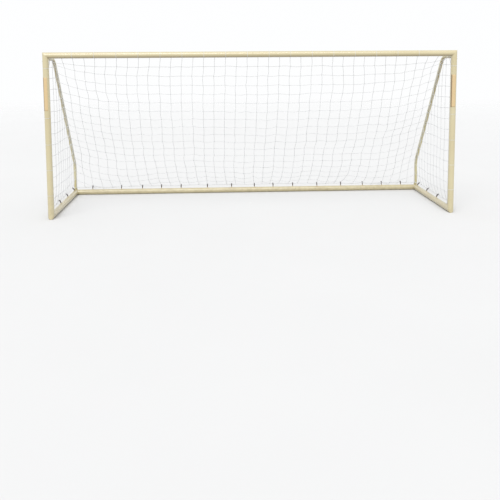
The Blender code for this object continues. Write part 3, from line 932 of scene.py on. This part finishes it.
KNOT_R, KNOT_SWELL, KNOT_RINGS, KNOT_COLUMNS = 5.4 * MM, 0.22, 5, 8
ON_CROWN = 0.25
CORD_STEPS, SWAY = 3, 3 * MM
uprights = wavy(smooth(net[:, 2:-2:2].swapaxes(0, 1), CORD_STEPS), CORD_STEPS, SWAY)
levels = wavy(smooth(net[2:-2:2], CORD_STEPS), CORD_STEPS, SWAY)
cord_piece("back_net", [
    cord_skin(uprights, CORD_R, X_AXIS, CORD_COLUMNS),
    cord_skin(levels, CORD_R, Z_AXIS, CORD_COLUMNS),
], ["net_back"])
crossings = net[2:-2:2, 2:-2:2].reshape(-1, 3)
cord_piece("back_net_knots", [knots(crossings, (1, 0.8, 1))])
cord_piece("back_net_ropes", [
    rope(net[0], Z_AXIS), rope(net[-1], Z_AXIS),
    rope(net[:, 0], X_AXIS), rope(net[:, -1], X_AXIS),
])
print(f"{len(uprights)} uprights, {len(levels)} levels, {len(crossings)} knots,",
      f"{length_of(uprights, levels):.1f} m of cord")

# %% [markdown]
# Each side net fills the shape between post, stay and ground tube. It is laced
# almost taut, so it needs no second fall. Its mesh is cut along those edges, so
# its cords are worked out as straight lines that stop at the outline, and then
# the whole sheet is given the same small bulge and drift, so that crossing
# cords still meet in their knots.

# %% Side nets
rope_x, *stay_edge = net[:, -1].T
stay_edge = np.column_stack(stay_edge)
SIDE_ACROSS, SIDE_STEPS = 11, 61
TOP_CLEAR, CROSSING_CLEAR = 0.05, 0.02
BULGE, DRIFT = 22 * MM, 9 * MM
FADE, CAUGHT_FADE = 0.12, 0.10
BETWEEN_OUT, BETWEEN_UP = 6 * MM, 9 * MM
side_y = np.linspace(FRONT_Y + BESIDE_BAR, REAR_Y - BESIDE_STAY, SIDE_ACROSS + 1)
side_z = np.arange(CAUGHT_Z + MESH, head_corner[1] - TOP_CLEAR, MESH)
side_hook_y = np.array([middle(n)[1] for n in hook_nodes if n.startswith("net_hook_left")])
hung_y = np.sort(np.concatenate([side_hook_y, (side_hook_y[1:] + side_hook_y[:-1]) / 2]))
at_hook = np.arange(len(hung_y)) % 2 == 0
caught_rope = np.column_stack([
    POST_X + np.where(at_hook, CAUGHT_OUT, BETWEEN_OUT),
    hung_y,
    CAUGHT_Z + np.where(at_hook, 0, BETWEEN_UP),
])
bottom_ends = np.array([
    (POST_X - BESIDE_BAR, side_y[0], CAUGHT_Z), (edge_x, side_y[-1], CAUGHT_Z)
])
bottom = np.concatenate([bottom_ends[:1], caught_rope, bottom_ends[1:]])


def near(distance, fade):
    """1 at an edge and beyond it, and exp(-distance / fade) inside."""
    return np.exp(-np.clip(distance, 0, None) / fade)


def side_sheet(y, z):
    """Place of a point of the side net, on the plane of post and stay.

    x leaves the plane for the bottom rope by exp(-height / 0.10), and for the
    edge rope by exp(-distance / 0.12). The bulge is 22 mm, the drift two slow
    waves of 9 mm; both fade at the outline with 1 - exp(-distance / 0.12).
    """
    reach = np.clip((y - side_y[0]) / (side_y[-1] - side_y[0]), 0, 1)
    plane = (POST_X - BESIDE_BAR) * (1 - reach) + edge_x * reach
    caught_x, caught_z = (np.interp(y, bottom[:, 1], bottom[:, axis]) for axis in (0, 2))
    lift = near(z - caught_z, CAUGHT_FADE)
    top = np.interp(y, stay_edge[:, 0], stay_edge[:, 1])
    far = np.interp(z, stay_edge[::-1, 1], stay_edge[::-1, 0])
    tied = near(np.minimum(far - y, top - z), FADE)
    plane = plane * (1 - tied) + np.interp(y, stay_edge[:, 0], rope_x) * tied
    hold = 1.0
    for distance in (y - side_y[0], far - y, z - caught_z, top - z):
        hold = hold * (1 - near(distance, FADE))
    x = plane * (1 - lift) + caught_x * lift - BULGE * hold
    drift_y = DRIFT * hold * np.sin(5.1 * y + 7.3 * z)
    drift_z = DRIFT * hold * (np.sin(6.7 * y - 3.9 * z) - 0.8)
    return np.stack([x, y + drift_y, z + drift_z], axis=-1)


def side_cords():
    """Uprights from the bottom rope to the stay, levels from post to stay, and the crossings."""
    share = np.linspace(0, 1, SIDE_STEPS)
    top = np.interp(side_y[1:-1], stay_edge[:, 0], stay_edge[:, 1])
    low = np.interp(side_y[1:-1], bottom[:, 1], bottom[:, 2])
    far = np.interp(side_z, stay_edge[::-1, 1], stay_edge[::-1, 0])
    up_z = low[:, None] + (top - low)[:, None] * share
    uprights = side_sheet(side_y[1:-1, None] + 0 * share, up_z)
    along_y = side_y[0] + (far - side_y[0])[:, None] * share
    levels = side_sheet(along_y, side_z[:, None] + 0 * share)
    y, z = (grid.ravel() for grid in np.meshgrid(side_y[1:-1], side_z))
    inside = z < np.interp(y, stay_edge[:, 0], stay_edge[:, 1]) - CROSSING_CLEAR
    return uprights, levels, side_sheet(y[inside], z[inside])


side_uprights, side_levels, side_knots = side_cords()
post_rope = np.array([
    bottom[0], *((bottom[0, 0], side_y[0], z) for z in side_z), (head_half, *head_corner)
])
for side, sign in SIDES.items():
    to_side = np.array([sign, 1, 1])
    cord_piece(f"side_net_{side}", [
        cord_skin(side_uprights * to_side, CORD_R, X_AXIS, CORD_COLUMNS),
        cord_skin(side_levels * to_side, CORD_R, X_AXIS, CORD_COLUMNS),
        knots(side_knots * to_side, (1, 1, 0.8)),
    ], [f"net_{side}"])
    cord_piece(f"side_net_ropes_{side}", [
        rope(post_rope * to_side, X_AXIS), rope(bottom * to_side, X_AXIS),
    ])
print(f"each side net: {len(side_uprights)} uprights, {len(side_levels)} levels,",
      f"{len(side_knots)} knots, {length_of(side_uprights, side_levels):.1f} m of cord")

# %% [markdown]
# Thin twine ties the ropes to the tubes. Two turns of it lie tight round the
# tube and the rope together, like a belt round two pulleys. The shape of such
# a belt is known, so nothing has to be wound or simulated.

# %% Lashings
TWINE_R, TURNS = 0.9 * MM, 2
TWINE_PITCH = 2.05 * TWINE_R
BELT_POINTS, TWINE_COLUMNS = 32, 6


def belt(centre, axis, tube_radius, to_rope):
    """In each direction, the point of the two circles that lies farthest out.

    A circle reaches centre . direction + radius, so the tube gives
    R + c and the rope gives d cos(angle) + r + c.
    """
    distance = np.linalg.norm(to_rope)
    first = to_rope / distance
    out = spokes(BELT_POINTS, first, np.cross(axis, first))
    on_rope = distance * np.cos(ring(BELT_POINTS)) + ROPE_R > tube_radius
    round_rope, round_tube = to_rope + out * (ROPE_R + TWINE_R), out * (tube_radius + TWINE_R)
    return centre + np.where(on_rope[:, None], round_rope, round_tube)


def lashing(places):
    """Closed rings of twine for each place, side by side along the tube's axis."""
    loops = np.stack([
        belt(centre, axis, radius, to_rope) + axis * (turn - (TURNS - 1) / 2) * TWINE_PITCH
        for centre, axis, radius, to_rope in places for turn in range(TURNS)
    ])
    axes = np.repeat(np.stack([axis for _, axis, _, _ in places]), TURNS, axis=0)[:, None]
    tangent = unit(np.roll(loops, -1, axis=1) - np.roll(loops, 1, axis=1))
    spoke = spokes(TWINE_COLUMNS, axes[:, :, None], np.cross(tangent, axes)[:, :, None])
    verts, faces = skin(loops[:, :, None] + spoke * TWINE_R, closed_rows=True)
    return verts, faces, np.full((4 * len(faces), 2), ON_CROWN)


def tie(x, y, z, axis, radius, *to_rope):
    """One place for a lashing: the tube's centre, axis and radius, and the way to the rope."""
    return np.array([x, y, z]), np.array(axis), radius, np.array(to_rope)


POST_TIES = (0.30, 0.62, 0.94, 1.27, 1.88)
STAY_TIES = np.linspace(0.24, 0.93, 9)
places = [
    tie(x, FRONT_Y, BAR_Z, X_AXIS, TUBE_R, 0, BESIDE_BAR, -BESIDE_BAR)
    for x in net[0, 4:-4:4, 0]
]
places += [
    tie(sign * POST_X, FRONT_Y, z, Z_AXIS, TUBE_R, -sign * BESIDE_BAR, BESIDE_BAR, 0)
    for sign in SIDES.values() for z in POST_TIES
]
stay_middle = at_shares(stay_route(), STAY_TIES)
stay_axis = unit(np.gradient(stay_middle, axis=0))
places += [
    tie(sign * POST_X, y, z, (0, ty, tz), STAY_R,
        -sign * BESIDE_STAY, BESIDE_STAY * tz, -BESIDE_STAY * ty)
    for sign in SIDES.values() for (y, z), (ty, tz) in zip(stay_middle, stay_axis)
]
cord_piece("net_lashings", [lashing(places)])
print(len(places), "lashings")

# %% [markdown]
# Each post has a plain film label under the crossbar. Its tone could be part
# of the paint, but a thin sheet bent round the tube catches the light at its
# edges. Its printed side is left blank.

# %% Post labels
LABEL_LOW, LABEL_HIGH = 1.36, 1.77
LABEL_TURN = radians(94)
LABEL_FACING = radians(-108)
FILM, OVER_PAINT = 0.25 * MM, 0.03 * MM
LABEL_COLUMNS, LABEL_ROWS = 25, 30


def label(sign):
    """A closed strip round the post: out at tube radius + film, back just above the paint."""
    half = LABEL_TURN / 2
    angle = np.linspace(LABEL_FACING - half, LABEL_FACING + half, LABEL_COLUMNS)
    height = np.linspace(LABEL_LOW, LABEL_HIGH, LABEL_ROWS)
    spoke = np.stack([np.cos(angle), np.sin(angle), 0 * angle], axis=-1)
    place = np.array([sign * POST_X, FRONT_Y, 0]) + height[:, None, None] * Z_AXIS
    outer, inner = place + spoke * (TUBE_R + FILM), place + spoke * (TUBE_R + OVER_PAINT)
    sheet = np.concatenate([outer, inner[:, ::-1]], axis=1)
    return skin(sheet[None], poles=True)


def label_film(start, place):
    """Warm tan film with a worn tone and a dark stripe down one edge."""
    across = start.node("ShaderNodeUVMap", {"uv_map": "sheet"}).axis("X")
    worn = place.noise(60, 4, 0.6)
    stripe = 1 - across.ramp(0.22, 0.25)
    tone = worn.mix(srgb(190, 167, 126), srgb(202, 177, 134))
    return {
        "Base Color": stripe.mix(tone, srgb(128, 106, 80)),
        "Roughness": worn * 0.25 + 0.35,
        "Normal": place.noise(180, 2).bump(0.1 * MM, 0.4),
    }


FILM_PAINT = material("label_film", label_film)
for side, sign in SIDES.items():
    verts, faces = label(sign)
    made = piece(f"post_label_{side}", verts, faces, FILM_PAINT, "label_film")
    loop_vert = np.empty(len(made.data.loops), np.int32)
    made.data.loops.foreach_get("vertex_index", loop_vert)
    x, y, z = (verts[loop_vert] - [sign * POST_X, FRONT_Y, 0]).T
    across = (np.arctan2(y, x) - LABEL_FACING) / LABEL_TURN + 0.5
    sheet = np.column_stack([across, (z - LABEL_LOW) / (LABEL_HIGH - LABEL_LOW)])
    layer = made.data.uv_layers.new(name="sheet")
    layer.data.foreach_set("uv", sheet.astype(np.float32).ravel())
print(f"2 labels, {LABEL_HIGH - LABEL_LOW:.2f} m long")

# %% [markdown]
# The pieces that stay as packed, such as the sleeves and elbows inside the
# tubes and the stubs that carry the stays, only need a finish.

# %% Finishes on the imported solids
for name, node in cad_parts.items():
    if not node.hide_render:
        finish = CREAM if name.startswith("stay_stub") else STEEL
        node.data.materials.clear()
        node.data.materials.append(finish)
print(sum(not n.hide_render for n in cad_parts.values()), "packed solids shown")

# %% [markdown]
# The floor is a wide pale disc. A plane would show a horizon, so the disc
# fades out before it ends.

# %% Floor
FLOOR_RINGS = (0.01, 5, 12, 27)
FLOOR_COLUMNS = 96


def pale_floor(start, place):
    """Even pale grey with the faintest cloud, fading out from 9 to 26 m."""
    cloud = place.noise(0.6, 3)
    distance = place.node("ShaderNodeVectorMath", {"operation": "LENGTH"}, {0: place}, "Value")
    return {
        "Base Color": cloud.mix(srgb(204, 204, 204), srgb(207, 207, 207)),
        "Alpha": 1 - distance.ramp(9.0, 26.0),
    }


disc = np.array(FLOOR_RINGS)[:, None, None] * spokes(FLOOR_COLUMNS, Y_AXIS, X_AXIS)
floor_mesh = bpy.data.meshes.new("floor")
floor_verts, floor_faces = skin(disc[None])
floor_mesh.from_pydata(floor_verts.tolist(), [], floor_faces)
floor_mesh.materials.append(material("pale_floor", pale_floor, Roughness=0.9))
floor = bpy.data.objects.new("floor", floor_mesh)
bpy.context.collection.objects.link(floor)
